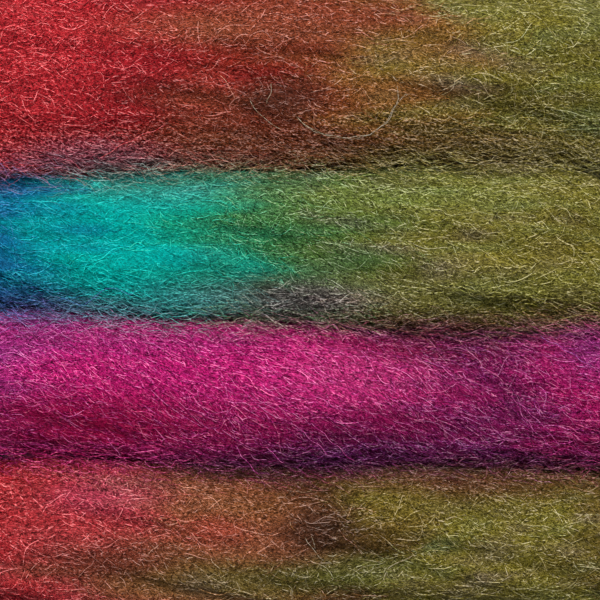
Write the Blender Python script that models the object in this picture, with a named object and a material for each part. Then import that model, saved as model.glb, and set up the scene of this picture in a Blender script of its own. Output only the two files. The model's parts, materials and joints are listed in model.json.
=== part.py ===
"""A cut length of dyed wool roving, laid back and forth in four runs side by side.

The roving is one soft rope of combed wool, about 25 mm across and 0.66 m long. It starts in a drawn-off tip,
runs to the right, folds back on itself three times and ends in a second drawn-off tip.

+Z is up, X runs along the lay and Y across it. The origin is on the surface that the roving lies on, under
the middle of the whole lay. All sizes are in metres.
"""

import math
from collections import namedtuple

import bmesh
import bpy
from mathutils import Vector

MM = 0.001

ROVING_HEIGHT = 21.5 * MM  # from the surface to the crown, a little less than the width
RUN_GAP = 0.5 * MM  # air between two runs that lie side by side
SQUARENESS = 2.2  # exponent of the section's outline: 2 is an ellipse, more is boxier
FLAT_DEPTH = 1.5 * MM  # how much of the round underside the roving's weight flattens

STRANDS = 6  # the soft strands that the combed wool lies in, all round a section
GROOVE_DEPTH = 1.5 * MM  # of the narrow grooves between them
GROOVE_SHARPNESS = 0.6  # under 1 makes round strands with narrow grooves
TWIST_LENGTH = 290 * MM  # one full turn of the light twist, which goes over the crown from left to right
SWELL_HEIGHT = 0.5 * MM  # slower swells along the crown
SWELL_LENGTH = 47 * MM

TIP_LENGTH = 50 * MM  # the drawn-off part past the end of the straight run
TIP_WIDTH_SHARE = 0.6  # of the full width, just behind the rounded nose
TIP_HEIGHT_SHARE = 0.13
TIP_NOSE = 7 * MM
TIP_NOSE_LEAST = 0.3  # the size of the last section, as a share of the one behind the nose
TIP_DRIFT = 4.0 * MM  # how far a tip wanders outwards from its run
TIP_LOCKS = 3  # the locks that a pulled-off end frays into
TIP_LOCK_DEPTH = 5.0 * MM

EYE_RADIUS = 2.2 * MM  # the small gap inside each fold
EYE_LEAD = 9 * MM  # over which the gap between the runs opens into it
TURN_HEIGHT_GAIN = 0.05  # wool bunches up a little in a fold
CREASES = 4  # creases that fan out from each eye
CREASE_DEPTH = 1.1 * MM

SIDES = 34
RING_SPACING = 4.2 * MM
TURN_RINGS = 15
TIP_RINGS = 16

# Where the runs meet, across the lay, at places along it. A row for each place, in millimetres.
EDGE_COLUMNS = ("x", "far", "first", "second", "third", "near")
EDGE_ROWS_MM = (
    (-60, 49.8, 20.4, -0.9, -25.4, -50.9),
    (-36, 50.3, 20.9, -1.6, -26.0, -51.5),
    (-20, 50.6, 21.1, -2.7, -26.8, -52.0),
    (-6, 50.5, 21.5, -3.3, -27.5, -52.4),
    (8, 50.2, 22.0, -4.3, -27.3, -52.0),
    (22, 50.0, 22.3, -5.7, -26.9, -51.6),
    (38, 50.1, 22.0, -5.6, -27.1, -51.9),
    (60, 49.7, 21.0, -4.8, -27.3, -52.3),
)

# The folds: the edge that each one turns round, its end of the lay, and its centre and reach along X.
TURN_COLUMNS = ("edge", "end", "centre_x", "reach")
TURN_ROWS_MM = (
    ("first", 1, 53.0, 25.5),
    ("second", -1, 54.0, 24.0),
    ("third", 1, 55.0, 24.5),
)

# Soft hollows in the crown, on the plan. A row for each, in millimetres.
HOLLOW_COLUMNS = ("x", "y", "length", "width", "depth")
HOLLOW_ROWS_MM = (
    (-4, 33, 9, 4.5, 1.5),
    (-27, 28, 10, 4, 1.1),
    (26, 40, 9, 4, 0.8),
    (16, 10, 12, 4.5, 0.9),
    (-14, 3, 11, 3.5, 0.8),
    (-38, -18, 13, 5, 1.0),
    (10, -22, 13, 3.5, 1.2),
    (34, -14, 9, 5, 0.9),
    (4, -38, 8, 5.5, 1.6),
    (-24, -38, 9, 4, 1.0),
)

# Each run's left and right edges as the roving travels, and the way it heads along X.
RUNS = (
    {"left": "far", "right": "first", "heading": 1},
    {"left": "second", "right": "first", "heading": -1},
    {"left": "second", "right": "third", "heading": 1},
    {"left": "near", "right": "third", "heading": -1},
)

WOOL_COLOUR = (0.32, 0.12, 0.12, 1.0)
WOOL_ROUGHNESS = 0.85

# One cross-section: its two edges on the plan, its height, how far it is round a fold from 0 to 1,
# or 0 on a run, and how frayed it is, from 0 to 1 at a drawn-off tip.
Station = namedtuple("Station", "left right height folded frayed", defaults=(0.0, 0.0))


def clear_scene():
    for obj in list(bpy.data.objects):
        bpy.data.objects.remove(obj)


def smoothstep(value):
    value = min(1.0, max(0.0, value))
    return value * value * (3 - 2 * value)


def edge_y(name, x):
    """The place across the lay of a named edge, on a smooth curve through the table's rows."""
    column = EDGE_COLUMNS.index(name)
    xs = [row[0] * MM for row in EDGE_ROWS_MM]
    ys = [row[column] * MM for row in EDGE_ROWS_MM]
    x = min(xs[-1], max(xs[0], x))
    index = max(i for i in range(len(xs) - 1) if xs[i] <= x)

    def slope(i):
        low, high = max(0, i - 1), min(len(xs) - 1, i + 1)
        return (ys[high] - ys[low]) / (xs[high] - xs[low])

    step = xs[index + 1] - xs[index]
    t = (x - xs[index]) / step
    rise = t * t * (3 - 2 * t)
    return (
        ys[index] * (1 - rise)
        + ys[index + 1] * rise
        + slope(index) * step * t * (1 - t) ** 2
        - slope(index + 1) * step * t * t * (1 - t)
    )


def turn_of(edge):
    """The fold that turns round an edge, with its sizes in metres, or None for the two outer edges."""
    for row in TURN_ROWS_MM:
        turn = dict(zip(TURN_COLUMNS, row))
        if turn["edge"] == edge:
            turn["centre_x"] *= MM
            turn["reach"] *= MM
            return turn
    return None


def pull_back(edge, x):
    """How far a run's side stands back from the edge it shares: half the gap, and more beside an eye."""
    turn = turn_of(edge)
    if turn is None:
        return 0.0
    along = x * turn["end"] - (turn["centre_x"] - EYE_LEAD)
    opening = smoothstep(along / EYE_LEAD)
    return RUN_GAP / 2 + (EYE_RADIUS - RUN_GAP / 2) * opening


def run_station(run, x):
    """The section of a run at a place along X."""
    side = run["heading"]
    left = edge_y(run["left"], x) - side * pull_back(run["left"], x)
    right = edge_y(run["right"], x) + side * pull_back(run["right"], x)
    return Station(Vector((x, left)), Vector((x, right)), ROVING_HEIGHT)


def run_stations(run, start, end):
    count = max(2, round(abs(end - start) / RING_SPACING))
    return [run_station(run, start + (end - start) * i / count) for i in range(count + 1)]


def turn_stations(turn, before, after):
    """The sections of a fold, between the last station of one run and the first of the next."""
    end, centre_x = turn["end"], turn["centre_x"]
    centre = Vector((centre_x * end, edge_y(turn["edge"], centre_x * end)))
    stations = []
    for i in range(1, TURN_RINGS):
        share = i / TURN_RINGS
        angle = math.pi * share
        ray = Vector((math.sin(angle) * end, math.cos(angle)))
        bulge = math.sin(angle) ** 2
        start_reach = abs((before.left if end > 0 else before.right).y - centre.y)
        end_reach = abs((after.left if end > 0 else after.right).y - centre.y)
        reach = start_reach + (end_reach - start_reach) * smoothstep(share)
        reach += (turn["reach"] - reach) * bulge
        outer = centre + ray * reach
        inner = centre + ray * EYE_RADIUS
        height = ROVING_HEIGHT * (1 + TURN_HEIGHT_GAIN * bulge)
        left, right = (outer, inner) if end > 0 else (inner, outer)
        stations.append(Station(left, right, height, folded=share))
    return stations


def tip_stations(run, start, outwards):
    """The drawn-off end past a run's left end, from the run to the nose. Outwards is +1 or -1 along Y."""
    base = run_station(run, start)
    middle = (base.left + base.right) / 2
    half = (base.left - base.right) / 2
    stations = []
    for i in range(1, TIP_RINGS + 1):
        share = i / TIP_RINGS
        # Sections crowd together towards the nose, which is rounded off over its last few millimetres.
        along = TIP_LENGTH * (1 - (1 - share) ** 1.5)
        left_over = TIP_LENGTH - along
        nose = math.sqrt(1 - (1 - min(1.0, left_over / TIP_NOSE)) ** 2)
        nose = max(TIP_NOSE_LEAST, nose)
        thinning = smoothstep(along / TIP_LENGTH)
        width = (1 - (1 - TIP_WIDTH_SHARE) * thinning) * nose
        height = (TIP_HEIGHT_SHARE + (1 - TIP_HEIGHT_SHARE) * (1 - thinning) ** 1.3) * nose
        centre = middle + Vector((-along, outwards * TIP_DRIFT * thinning))
        left, right = centre + half * width, centre - half * width
        # The last section is flat, so that it closes cleanly.
        frayed = thinning * (nose - TIP_NOSE_LEAST) / (1 - TIP_NOSE_LEAST)
        stations.append(Station(left, right, ROVING_HEIGHT * height, frayed=frayed))
    return stations


def all_stations():
    """Every section of the roving, in the order in which it is laid."""
    turns = [turn_of(row[0]) for row in TURN_ROWS_MM]
    far_run, second_run, third_run, near_run = RUNS
    right_first = turns[0]["centre_x"]
    left_second = -turns[1]["centre_x"]
    right_third = turns[2]["centre_x"]
    tip_start = left_second

    runs = [
        run_stations(far_run, tip_start, right_first),
        run_stations(second_run, right_first, left_second),
        run_stations(third_run, left_second, right_third),
        run_stations(near_run, right_third, tip_start),
    ]
    stations = list(reversed(tip_stations(far_run, tip_start, 1)))
    for i, run in enumerate(runs):
        stations += run
        if i < len(turns):
            stations += turn_stations(turns[i], run[-1], runs[i + 1][0])
    return stations + tip_stations(near_run, tip_start, -1)


def lengths_along(stations):
    """How far along the roving each station is."""
    along = [0.0]
    for a, b in zip(stations, stations[1:]):
        step = (b.left + b.right) / 2 - (a.left + a.right) / 2
        along.append(along[-1] + step.length)
    return along


def power(value, exponent):
    return math.copysign(abs(value) ** exponent, value)


def strand_relief(along, angle):
    """Rounded strands with narrow grooves between them, which wind slowly round the roving."""
    turned = angle - 2 * math.pi * along / TWIST_LENGTH
    turned += 0.22 * math.sin(2 * turned + 2 * math.pi * along / (2.3 * SWELL_LENGTH))
    groove = 1 - abs(math.sin(STRANDS * turned / 2)) ** GROOVE_SHARPNESS
    depth = GROOVE_DEPTH * (0.65 + 0.35 * math.sin(2 * math.pi * along / (1.7 * SWELL_LENGTH) + angle))
    return -depth * groove


def hollow_relief(plan):
    relief = 0.0
    for row in HOLLOW_ROWS_MM:
        hollow = {name: value * MM for name, value in zip(HOLLOW_COLUMNS, row)}
        along = (plan.x - hollow["x"]) / hollow["length"]
        across = (plan.y - hollow["y"]) / hollow["width"]
        relief -= hollow["depth"] * math.exp(-(along**2) - across**2)
    return relief


def crease_relief(folded, inwards):
    """Creases that fan out from a fold's eye, deepest beside it. Inwards is 1 there and 0 at the outside."""
    if not 0 < folded < 1:
        return 0.0
    fan = abs(math.sin(math.pi * folded * CREASES)) ** GROOVE_SHARPNESS
    return -CREASE_DEPTH * (1 - fan) * (0.25 + 0.75 * inwards) * math.sin(math.pi * folded)


def section_point(station, along, angle):
    """A point on the surface: angle 0 is the left side of a section, and a quarter turn the crown."""
    middle = (station.left + station.right) / 2
    half = (station.left - station.right) / 2
    across = power(math.cos(angle), 2 / SQUARENESS)
    up = power(math.sin(angle), 2 / SQUARENESS)
    plan = middle + half * across
    full = station.height / ROVING_HEIGHT
    # The eye of a fold is on the left at the left end of the lay, and on the right at the right end.
    inwards = 0.5 + 0.5 * across * (-1 if middle.x > 0 else 1)
    relief = strand_relief(along, angle) + hollow_relief(plan) + crease_relief(station.folded, inwards)
    relief += SWELL_HEIGHT * math.sin(2 * math.pi * along / SWELL_LENGTH + 2 * angle)
    relief *= max(0.0, math.sin(angle)) * full
    flat = FLAT_DEPTH * full
    height = (station.height + flat) * (1 + up) / 2 - flat + relief
    # A drawn-off end frays into locks: its front edge stands back between them.
    between_locks = 0.5 - 0.5 * math.cos(math.pi * TIP_LOCKS * (across + 1))
    plan.x += TIP_LOCK_DEPTH * station.frayed * (1 - between_locks)
    return Vector((plan.x, plan.y, max(0.0, height)))


def laid_roving():
    """A straight cylinder, cut into rings and laid along the stations."""
    stations = all_stations()
    along = lengths_along(stations)
    last = len(stations) - 1
    bm = bmesh.new()
    bmesh.ops.create_cone(bm, cap_ends=True, segments=SIDES, radius1=1, radius2=1, depth=1)
    long_edges = [e for e in bm.edges if abs(e.verts[0].co.z - e.verts[1].co.z) > 0.5]
    bmesh.ops.subdivide_edges(bm, edges=long_edges, cuts=last - 1, use_grid_fill=True)
    for vert in bm.verts:
        ring = round((vert.co.z + 0.5) * last)
        angle = math.atan2(vert.co.y, vert.co.x)
        vert.co = section_point(stations[ring], along[ring], angle)
    if bm.calc_volume(signed=True) < 0:
        bmesh.ops.reverse_faces(bm, faces=bm.faces)
    centre_on_origin(bm)
    return bm


def centre_on_origin(bm):
    """Puts the middle of the lay's plan over the origin."""
    xs = [v.co.x for v in bm.verts]
    ys = [v.co.y for v in bm.verts]
    shift = Vector((-(min(xs) + max(xs)) / 2, -(min(ys) + max(ys)) / 2, 0))
    bmesh.ops.translate(bm, vec=shift, verts=bm.verts)


def wool_material():
    material = bpy.data.materials.new("dyed_wool")
    material.use_nodes = True
    shader = material.node_tree.nodes["Principled BSDF"]
    shader.inputs["Base Color"].default_value = WOOL_COLOUR
    shader.inputs["Roughness"].default_value = WOOL_ROUGHNESS
    shader.inputs["Metallic"].default_value = 0.0
    return material


def build():
    clear_scene()
    collection = bpy.data.collections.new("wool_roving")
    bpy.context.scene.collection.children.link(collection)
    bm = laid_roving()
    mesh = bpy.data.meshes.new("roving")
    bm.to_mesh(mesh)
    bm.free()
    mesh.materials.append(wool_material())
    mesh.shade_smooth()
    roving = bpy.data.objects.new("roving", mesh)
    collection.objects.link(roving)


build()
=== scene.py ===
# A cut length of hand-dyed wool roving, laid back and forth in four runs and seen close up from above.
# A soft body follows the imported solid, and combed, loose and frayed fibres lie on it.

import json
import math

import bmesh
import bpy
import numpy as np
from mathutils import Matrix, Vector

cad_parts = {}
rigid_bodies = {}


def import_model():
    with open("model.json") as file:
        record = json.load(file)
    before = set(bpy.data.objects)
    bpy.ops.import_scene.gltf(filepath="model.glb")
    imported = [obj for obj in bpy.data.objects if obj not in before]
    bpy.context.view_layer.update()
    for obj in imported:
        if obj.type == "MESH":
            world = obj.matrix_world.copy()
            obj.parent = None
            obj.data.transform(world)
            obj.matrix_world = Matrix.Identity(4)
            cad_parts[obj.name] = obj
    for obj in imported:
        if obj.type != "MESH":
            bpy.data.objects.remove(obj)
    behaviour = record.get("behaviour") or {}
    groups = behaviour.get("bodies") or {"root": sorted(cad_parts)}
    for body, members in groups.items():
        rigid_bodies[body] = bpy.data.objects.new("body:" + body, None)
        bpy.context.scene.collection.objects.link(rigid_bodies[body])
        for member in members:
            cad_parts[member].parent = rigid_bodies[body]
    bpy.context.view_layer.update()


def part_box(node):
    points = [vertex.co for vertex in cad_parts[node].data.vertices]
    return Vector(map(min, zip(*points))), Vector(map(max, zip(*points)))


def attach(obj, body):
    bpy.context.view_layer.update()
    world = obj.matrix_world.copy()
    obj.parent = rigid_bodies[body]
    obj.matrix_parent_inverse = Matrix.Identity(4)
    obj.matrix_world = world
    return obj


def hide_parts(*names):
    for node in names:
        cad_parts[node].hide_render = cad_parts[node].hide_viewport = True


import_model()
mm = 0.001
rng = np.random.default_rng(20)

# the lay, with the solid's own sizes, in millimetres
lay = {
    "height": 21.5,
    "runGap": 0.5,
    "squareness": 2.2,  # of the section's outline: 2 is an ellipse
    "flatDepth": 1.5,
    "strands": 6,
    "strandWander": 0.22,  # radians, to and fro once in this many swells
    "wanderSwells": 2.3,
    "grooveDepth": 0.7,  # the solid's grooves are deeper and sharper: loose wool half fills them
    "grooveSharpness": 1.8,
    "grooveChange": 0.35,  # how much of the depth comes and goes, once in this many swells
    "changeSwells": 1.7,
    "smoothPlace": 372,  # combed smooth, without grooves, around here
    "smoothReach": 52,
    "smoothShare": 0.95,
    "smoothRelief": 0.7,  # how much of the fine relief goes there too
    "twistLength": 290,
    "swellHeight": 0.5,
    "swellLength": 47,
    "tipLength": 50,
    "tipWidthShare": 0.6,
    "tipHeightShare": 0.13,
    "tipNose": 7,
    "tipNoseLeast": 0.3,
    "tipDrift": 4,
    "tipLocks": 3,
    "tipLockDepth": 5,
    "eyeRadius": 2.2,
    "eyeLead": 9,
    "turnHeightGain": 0.05,
    "creases": 4,
    "creaseDepth": 1.1,
    "ringSpacing": 1.5,  # finer than the solid's
    "sides": 96,
}

# Where the runs meet, across the lay, at places along it.
edgeNames = ("far", "first", "second", "third", "near")
edgeRows = (
    (-60, 49.8, 20.4, -0.9, -25.4, -50.9),
    (-36, 50.3, 20.9, -1.6, -26.0, -51.5),
    (-20, 50.6, 21.1, -2.7, -26.8, -52.0),
    (-6, 50.5, 21.5, -3.3, -27.5, -52.4),
    (8, 50.2, 22.0, -4.3, -27.3, -52.0),
    (22, 50.0, 22.3, -5.7, -26.9, -51.6),
    (38, 50.1, 22.0, -5.6, -27.1, -51.9),
    (60, 49.7, 21.0, -4.8, -27.3, -52.3),
)
turns = {
    "first": {"end": 1, "centre": 53.0, "reach": 25.5},
    "second": {"end": -1, "centre": 54.0, "reach": 24.0},
    "third": {"end": 1, "centre": 55.0, "reach": 24.5},
}
# x, y, length, width and depth of each soft hollow in the crown
hollows = (
    (-4, 33, 9, 4.5, 1.5),
    (-27, 28, 10, 4, 1.1),
    (26, 40, 9, 4, 0.8),
    (16, 10, 12, 4.5, 0.9),
    (-14, 3, 11, 3.5, 0.8),
    (-38, -18, 13, 5, 0.6),
    (10, -22, 13, 3.5, 1.2),
    (34, -14, 9, 5, 0.9),
    (4, -38, 8, 5.5, 1.6),
    (-24, -38, 9, 4, 1.0),
)
# left edge, right edge and heading of each run, as the roving travels
runs = (("far", "first", 1), ("second", "first", -1), ("second", "third", 1), ("near", "third", -1))


def smoothstep(value):
    value = np.clip(value, 0, 1)
    return value * value * (3 - 2 * value)


def edgeAt(name, x):
    column = 1 + edgeNames.index(name)
    xs = [row[0] for row in edgeRows]
    ys = [row[column] for row in edgeRows]
    x = min(xs[-1], max(xs[0], x))
    i = max(k for k in range(len(xs) - 1) if xs[k] <= x)

    def slope(k):
        low, high = max(0, k - 1), min(len(xs) - 1, k + 1)
        return (ys[high] - ys[low]) / (xs[high] - xs[low])

    step = xs[i + 1] - xs[i]
    t = (x - xs[i]) / step
    rise = t * t * (3 - 2 * t)
    bend = slope(i) * step * t * (1 - t) ** 2 - slope(i + 1) * step * t * t * (1 - t)
    return ys[i] * (1 - rise) + ys[i + 1] * rise + bend


def pullBack(edge, x):
    if edge not in turns:
        return 0
    turn = turns[edge]
    along = x * turn["end"] - (turn["centre"] - lay["eyeLead"])
    half = lay["runGap"] / 2
    return half + (lay["eyeRadius"] - half) * float(smoothstep(along / lay["eyeLead"]))


# A station is (left x, left y, right x, right y, height, folded, frayed).
def runStation(run, x):
    left, right, heading = run
    leftY = edgeAt(left, x) - heading * pullBack(left, x)
    rightY = edgeAt(right, x) + heading * pullBack(right, x)
    return (x, leftY, x, rightY, lay["height"], 0, 0)


def runStations(run, start, end):
    count = round(abs(end - start) / lay["ringSpacing"])
    return [runStation(run, start + (end - start) * i / count) for i in range(count + 1)]


def turnStations(name, before, after):
    turn = turns[name]
    end, centreX = turn["end"], turn["centre"] * turn["end"]
    centreY = edgeAt(name, centreX)
    outer = 1 if end > 0 else 3  # where a station keeps the y of its outer side
    rings = round(math.pi * turn["reach"] / 2 / lay["ringSpacing"])
    stations = []
    for i in range(1, rings):
        share = i / rings
        rayX, rayY = math.sin(math.pi * share) * end, math.cos(math.pi * share)
        bulge = math.sin(math.pi * share) ** 2
        startReach, endReach = abs(before[outer] - centreY), abs(after[outer] - centreY)
        reach = startReach + (endReach - startReach) * float(smoothstep(share))
        reach += (turn["reach"] - reach) * bulge
        outside = (centreX + rayX * reach, centreY + rayY * reach)
        inside = (centreX + rayX * lay["eyeRadius"], centreY + rayY * lay["eyeRadius"])
        left, right = (outside, inside) if end > 0 else (inside, outside)
        stations.append((*left, *right, lay["height"] * (1 + lay["turnHeightGain"] * bulge), share, 0))
    return stations


def tipStations(run, start, outwards):
    base = runStation(run, start)
    middle, half = (base[1] + base[3]) / 2, (base[1] - base[3]) / 2
    rings = round(lay["tipLength"] / lay["ringSpacing"])
    stations = []
    for i in range(1, rings + 1):
        along = lay["tipLength"] * (1 - (1 - i / rings) ** 1.5)
        leftOver = min(1, (lay["tipLength"] - along) / lay["tipNose"])
        nose = max(lay["tipNoseLeast"], math.sqrt(1 - (1 - leftOver) ** 2))
        thin = float(smoothstep(along / lay["tipLength"]))
        width = half * (1 - (1 - lay["tipWidthShare"]) * thin) * nose
        height = (lay["tipHeightShare"] + (1 - lay["tipHeightShare"]) * (1 - thin) ** 1.3) * nose
        y = middle + outwards * lay["tipDrift"] * thin
        frayed = thin * (nose - lay["tipNoseLeast"]) / (1 - lay["tipNoseLeast"])
        x = start - along
        stations.append((x, y + width, x, y - width, lay["height"] * height, 0, frayed))
    return stations


def layStations():
    right1, left2, right3 = (turn["centre"] * turn["end"] for turn in turns.values())
    ends = (left2, right1, left2, right3, left2)
    pieces = [runStations(run, start, end) for run, start, end in zip(runs, ends, ends[1:])]
    stations = tipStations(runs[0], left2, 1)[::-1]
    spans = []
    for i, piece in enumerate(pieces):
        spans.append((len(stations), len(stations) + len(piece)))
        stations += piece
        if i < 3:
            stations += turnStations(list(turns)[i], piece[-1], pieces[i + 1][0])
    return np.array(stations + tipStations(runs[3], left2, -1)), spans


stations, runSpans = layStations()
middles = (stations[:, 0:2] + stations[:, 2:4]) / 2
along = np.concatenate([[0], np.cumsum(np.linalg.norm(np.diff(middles, axis=0), axis=1))])
fullLength = along[-1]
print(f"lay: {len(stations)} rings, {fullLength:.0f} mm of roving")

# the skin: a grid of points that the body and the fibres share
skin = {
    "columns": 192,
    "fineSteps": 721,  # round each section, before its points are spread evenly
    "girth": 76,  # about how far it is round the roving
    "noiseRows": 1400,
    "noiseColumns": 168,
    "floorReach": 6,  # the height over which the relief fades in from the floor
}
# the relief of the loose wool: seed, length, width, slope and height. The first two are locks of fibre.
reliefs = ((1, 7, 0.85, 0.2, 0.42), (2, 3.5, 0.42, 0.2, 0.2), (3, 11, 4, 0, 0.45))


def sample(grid, row, column):
    # the value between four points of a grid whose last column meets its first
    row = np.clip(row, 0, len(grid) - 1.001)
    r, c = row.astype(int), column.astype(int) % grid.shape[1]
    fr, fc = row - r, column - np.floor(column)
    if grid.ndim > 2:
        fr, fc = fr[..., None], fc[..., None]
    after = (c + 1) % grid.shape[1]
    low = grid[r, c] * (1 - fc) + grid[r, after] * fc
    high = grid[r + 1, c] * (1 - fc) + grid[r + 1, after] * fc
    return low * (1 - fr) + high * fr


def softNoise(seed, lengthMm, widthMm, slope=0.0):
    # smooth random relief over the skin, drawn out along the fibres, with a deviation of 1
    rows, columns = skin["noiseRows"], skin["noiseColumns"]
    noise = np.random.default_rng(seed).standard_normal((rows, columns))
    stepAlong, stepAcross = fullLength / rows, skin["girth"] / columns
    ks = np.fft.fftfreq(rows, stepAlong)[:, None] * 2 * np.pi
    kv = np.fft.fftfreq(columns, stepAcross)[None, :] * 2 * np.pi
    window = np.exp(-((ks * lengthMm) ** 2 + (kv * widthMm) ** 2) / 2)
    field = np.fft.ifft2(np.fft.fft2(noise) * window).real
    field /= field.std()

    def at(place, around):
        return sample(field, place / stepAlong, (around * columns - slope * place / stepAcross) % columns)

    return at


def power(value, exponent):
    return np.copysign(np.abs(value) ** exponent, value)


def smoothAt(place):
    return lay["smoothShare"] * np.exp(-(((place - lay["smoothPlace"]) / lay["smoothReach"]) ** 2))


def sectionPoints(angle, ring):
    # the solid's own surface: angle 0 is a section's left side, and a quarter turn its crown
    left, right, height = stations[ring, 0:2], stations[ring, 2:4], stations[ring, 4]
    folded, frayed, place = stations[ring, 5], stations[ring, 6], along[ring]
    across = power(np.cos(angle), 2 / lay["squareness"])
    up = power(np.sin(angle), 2 / lay["squareness"])
    plan = (left + right) / 2 + (left - right) / 2 * across[..., None]
    full = height / lay["height"]
    turned = angle - 2 * np.pi * place / lay["twistLength"]
    wanderLength = lay["wanderSwells"] * lay["swellLength"]
    turned = turned + lay["strandWander"] * np.sin(2 * turned + 2 * np.pi * place / wanderLength)
    groove = 1 - np.abs(np.sin(lay["strands"] * turned / 2)) ** lay["grooveSharpness"]
    changed = np.sin(2 * np.pi * place / (lay["changeSwells"] * lay["swellLength"]) + angle)
    depth = 1 - lay["grooveChange"] + lay["grooveChange"] * changed
    relief = -lay["grooveDepth"] * (1 - smoothAt(place)) * depth * groove
    for x, y, length, width, deep in hollows:
        away = ((plan[..., 0] - x) / length) ** 2 + ((plan[..., 1] - y) / width) ** 2
        relief -= deep * np.exp(-away)
    inwards = 0.5 + 0.5 * across * np.where(plan[..., 0] > 0, -1, 1)
    fan = np.abs(np.sin(np.pi * folded * lay["creases"])) ** lay["grooveSharpness"]
    crease = (1 - fan) * (0.25 + 0.75 * inwards) * np.sin(np.pi * folded)
    relief -= lay["creaseDepth"] * crease * ((folded > 0) & (folded < 1))
    relief += lay["swellHeight"] * np.sin(2 * np.pi * place / lay["swellLength"] + 2 * angle)
    relief *= np.maximum(0, np.sin(angle)) * full
    flat = lay["flatDepth"] * full
    z = (height + flat) * (1 + up) / 2 - flat + relief
    between = 0.5 - 0.5 * np.cos(np.pi * lay["tipLocks"] * (across + 1))
    x = plan[..., 0] + lay["tipLockDepth"] * frayed * (1 - between)
    return np.stack([x, plan[..., 1], np.maximum(0, z)], axis=-1)


def skinNormals(points):
    alongWay = np.gradient(points, axis=0)
    acrossWay = np.roll(points, -1, axis=1) - np.roll(points, 1, axis=1)
    normals = np.cross(acrossWay, alongWay)
    normals /= np.maximum(1e-9, np.linalg.norm(normals, axis=-1, keepdims=True))
    crown = normals[:, skin["columns"] // 2, 2]
    return -normals if (crown < 0).mean() > 0.5 else normals  # outwards


def makeSkin():
    # columns lie evenly round each section, from the middle of its underside over the left side
    fine = np.linspace(-np.pi / 2, 3 * np.pi / 2, skin["fineSteps"])
    even = np.empty((len(stations), skin["columns"], 3))
    perimeter = np.empty(len(stations))
    for i in range(len(stations)):
        ringPoints = sectionPoints(fine, i)
        run = np.concatenate([[0], np.cumsum(np.linalg.norm(np.diff(ringPoints, axis=0), axis=1))])
        perimeter[i] = run[-1]
        wanted = np.arange(skin["columns"]) / skin["columns"] * run[-1]
        for k in range(3):
            even[i, :, k] = np.interp(wanted, run, ringPoints[:, k])
    return even, perimeter


skinPoints, perimeter = makeSkin()
centre = (skinPoints.reshape(-1, 3)[:, :2].min(0) + skinPoints.reshape(-1, 3)[:, :2].max(0)) / 2
cadLow, cadHigh = (np.array(corner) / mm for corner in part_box("roving"))
shift = np.array([*((cadLow + cadHigh)[:2] / 2 - centre), 0])
skinPoints = skinPoints + shift
normals = skinNormals(skinPoints)
aroundGrid, alongGrid = np.meshgrid(np.arange(skin["columns"]) / skin["columns"], along)
raised = sum(relief[-1] * softNoise(*relief[:-1])(alongGrid, aroundGrid) for relief in reliefs)
raised *= 1 - lay["smoothRelief"] * smoothAt(alongGrid)
clearOfFloor = smoothstep(skinPoints[..., 2] / skin["floorReach"]) * (stations[:, 4] / lay["height"])[:, None]
skinPoints = skinPoints + normals * (raised * clearOfFloor)[..., None]
skinPoints[..., 2] = np.maximum(0, skinPoints[..., 2])
normals = skinNormals(skinPoints)
print("skin: centre moved by", shift.round(2))


def blend(grid, place, around):
    return sample(grid, np.interp(place, along, np.arange(len(along))), (around % 1) * skin["columns"])


def onSkin(place, around, lift):
    normal = blend(normals, place, around)
    normal /= np.maximum(1e-9, np.linalg.norm(normal, axis=-1, keepdims=True))
    return blend(skinPoints, place, around) + normal * lift[..., None], normal


def linear(code):
    values = np.array([int(code[i : i + 2], 16) / 255 for i in (0, 2, 4)])
    return np.where(values <= 0.04045, values / 12.92, ((values + 0.055) / 1.055) ** 2.4)


# each dye, and how pale the painted whitish highlights on its lightest fibres turn
dyes = {
    "coral": ("ba2832", 0.2),
    "salmon": ("bc3e44", 0.22),
    "brick": ("a41c26", 0.2),
    "rust": ("90281c", 0.2),
    "russet": ("864024", 0.22),
    "tan": ("926028", 0.24),
    "olive": ("827828", 0.26),
    "moss": ("72742c", 0.26),
    "leaf": ("5c7c34", 0.26),
    "green": ("3a8248", 0.24),
    "seaGreen": ("10a486", 0.08),
    "teal": ("00b0aa", 0.05),
    "blue": ("0a74a2", 0.08),
    "indigo": ("2c5298", 0.12),
    "violet": ("843890", 0.18),
    "rose": ("aa2a80", 0.2),
    "magenta": ("cc1c7a", 0.2),
    "pink": ("de4a96", 0.24),
    "cerise": ("b8186a", 0.2),
    "plum": ("82185a", 0.2),
    "crimson": ("9a0a36", 0.12),
    "wine": ("6e0e30", 0.18),
    "aubergine": ("3a0e3a", 0.18),
    "umber": ("623e22", 0.2),
    "peat": ("3e281e", 0.16),
    "lilacGrey": ("6a5070", 0.22),
    "greyGreen": ("5a8468", 0.22),
    "lime": ("929440", 0.26),
    "mustard": ("90822e", 0.22),
    "straw": ("a8945c", 0.26),
    "clay": ("9c5a3c", 0.22),
    "fleece": ("72664e", 0.22),  # wool that took up hardly any dye
}
# millimetres along the roving, and the dye there
dyeChart = (
    (0, "coral"),
    (66, "coral"),
    (80, "brick"),
    (94, "rust"),
    (108, "russet"),
    (120, "tan"),
    (134, "olive"),
    (180, "moss"),
    (212, "olive"),
    (236, "moss"),
    (247, "leaf"),
    (260, "green"),
    (267, "seaGreen"),
    (277, "teal"),
    (289, "teal"),
    (302, "blue"),
    (320, "indigo"),
    (338, "violet"),
    (352, "rose"),
    (368, "magenta"),
    (404, "magenta"),
    (420, "cerise"),
    (434, "plum"),
    (450, "cerise"),
    (470, "wine"),
    (494, "umber"),
    (512, "olive"),
    (538, "olive"),
    (550, "umber"),
    (560, "clay"),
    (574, "clay"),
    (588, "salmon"),
    (606, "coral"),
    (658, "brick"),
)
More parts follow.
